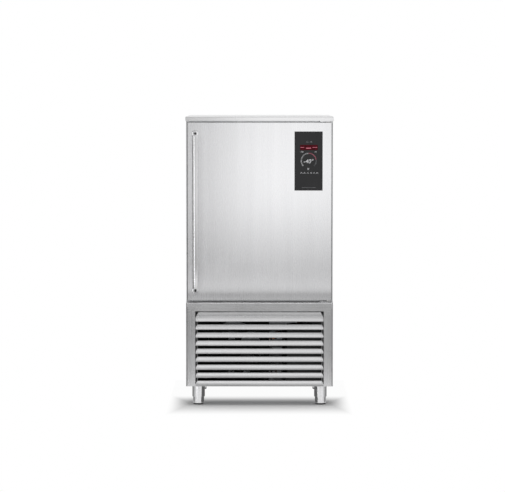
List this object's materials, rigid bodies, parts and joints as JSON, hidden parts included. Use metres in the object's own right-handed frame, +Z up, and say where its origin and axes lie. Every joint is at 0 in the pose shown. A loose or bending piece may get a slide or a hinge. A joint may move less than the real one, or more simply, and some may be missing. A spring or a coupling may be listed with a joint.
{
  "type": "blast chiller",
  "caption": "Upright stainless steel blast chiller with a hinged insulated door, tilting louvre panel, tray chamber and a refrigeration bay, on adjustable legs.",
  "frame": {"origin": "centre of the whole outline, door handle and rear screw heads included, on the floor", "axes": "+Z up; the door faces -Y; the door's hinge is on the +X side"},
  "size_m": [0.7924, 0.8476, 1.555],
  "materials": {
    "casing_steel": "satin",
    "door_steel": "satin",
    "inner_steel": "satin",
    "galvanised_steel": "matte",
    "rack_steel": "satin",
    "handle_steel": "satin",
    "leg_steel": "satin",
    "foam": "matte",
    "seal_rubber": "matte",
    "black_glass": "gloss",
    "black_plastic": "satin",
    "white_plastic": "satin",
    "board_green": "satin",
    "screw_steel": "satin",
    "black_screw": "satin",
    "fan_plastic": "satin",
    "black_paint": "satin",
    "fins": "satin",
    "copper": "satin"
  },
  "bodies": {
    "cabinet": {"top_cover": "casing_steel", "header_channel": "casing_steel", "side_panel_left": "casing_steel", "side_panel_right": "casing_steel", "rear_panel": "galvanised_steel", "rear_vent_panel": "galvanised_steel", "rear_panel_screws": "screw_steel", "front_surround": "inner_steel", "bay_deck": "galvanised_steel", "insulation": "foam", "chamber_liner": "inner_steel", "base_pan": "galvanised_steel", "lower_rail": "casing_steel", "lower_stile_left": "casing_steel", "lower_stile_right": "casing_steel", "lower_hinge_bracket": "screw_steel", "upper_hinge_bracket": "screw_steel", "hinge_pins": "screw_steel", "hinge_bracket_screws": "screw_steel", "tray_rack_left": "rack_steel", "tray_rack_right": "rack_steel", "fan_panel": "inner_steel", "fan_guards": "black_paint", "evaporator_fan_motors": "black_paint", "evaporator_coil": "fins", "drain_pipe": "white_plastic", "condenser_coil": "black_paint", "condenser_fan_shroud": "black_paint", "condenser_fan_motor": "black_paint", "compressor": "black_paint", "compressor_grommets": "seal_rubber", "liquid_receiver": "black_paint", "filter_drier": "copper", "refrigerant_pipes": "copper", "electrical_box": "black_paint", "electrical_box_cover": "black_paint", "inlet_grommet": "seal_rubber", "leg_tubes": "leg_steel"},
    "door": {"door_outer_skin": "door_steel", "door_foam_core": "foam", "door_inner_liner": "inner_steel", "door_gasket": "seal_rubber", "door_handle": "handle_steel", "handle_screws": "black_screw", "control_glass": "black_glass", "control_housing": "black_plastic", "control_board": "board_green", "hinge_bushes": "white_plastic"},
    "louvre": {"louvre_panel": "casing_steel"},
    "evaporator_fan_upper": {"evaporator_fan_upper": "fan_plastic"},
    "evaporator_fan_lower": {"evaporator_fan_lower": "fan_plastic"},
    "condenser_fan": {"condenser_fan": "fan_plastic"},
    "adjuster_front_left": {"foot_front_left": "leg_steel", "foot_pad_front_left": "black_plastic"},
    "adjuster_front_right": {"foot_front_right": "leg_steel", "foot_pad_front_right": "black_plastic"},
    "adjuster_rear_left": {"foot_rear_left": "leg_steel", "foot_pad_rear_left": "black_plastic"},
    "adjuster_rear_right": {"foot_rear_right": "leg_steel", "foot_pad_rear_right": "black_plastic"}
  },
  "joints": [
    {"name": "door_hinge", "type": "hinge", "parent": "cabinet", "child": "door", "pos_m": [0.369, -0.35125, 0.57], "axis": [0, 0, 1], "range_deg": [0, 120]},
    {"name": "louvre_tilt", "type": "hinge", "parent": "cabinet", "child": "louvre", "pos_m": [0, -0.37075, 0.115], "axis": [1, 0, 0], "range_deg": [0, 80]},
    {"name": "evaporator_fan_upper_spin", "type": "hinge", "parent": "cabinet", "child": "evaporator_fan_upper", "pos_m": [0, 0.20325, 1.24585], "axis": [0, 1, 0], "continuous": true},
    {"name": "evaporator_fan_lower_spin", "type": "hinge", "parent": "cabinet", "child": "evaporator_fan_lower", "pos_m": [0, 0.20325, 0.84585], "axis": [0, 1, 0], "continuous": true},
    {"name": "condenser_fan_spin", "type": "hinge", "parent": "cabinet", "child": "condenser_fan", "pos_m": [-0.14, -0.18375, 0.287], "axis": [0, 1, 0], "continuous": true},
    {"name": "foot_front_left_level", "type": "slide", "parent": "cabinet", "child": "adjuster_front_left", "axis": [0, 0, 1], "range_m": [-0.012, 0.014]},
    {"name": "foot_front_right_level", "type": "slide", "parent": "cabinet", "child": "adjuster_front_right", "axis": [0, 0, 1], "range_m": [-0.012, 0.014]},
    {"name": "foot_rear_left_level", "type": "slide", "parent": "cabinet", "child": "adjuster_rear_left", "axis": [0, 0, 1], "range_m": [-0.012, 0.014]},
    {"name": "foot_rear_right_level", "type": "slide", "parent": "cabinet", "child": "adjuster_rear_right", "axis": [0, 0, 1], "range_m": [-0.012, 0.014]}
  ]
}
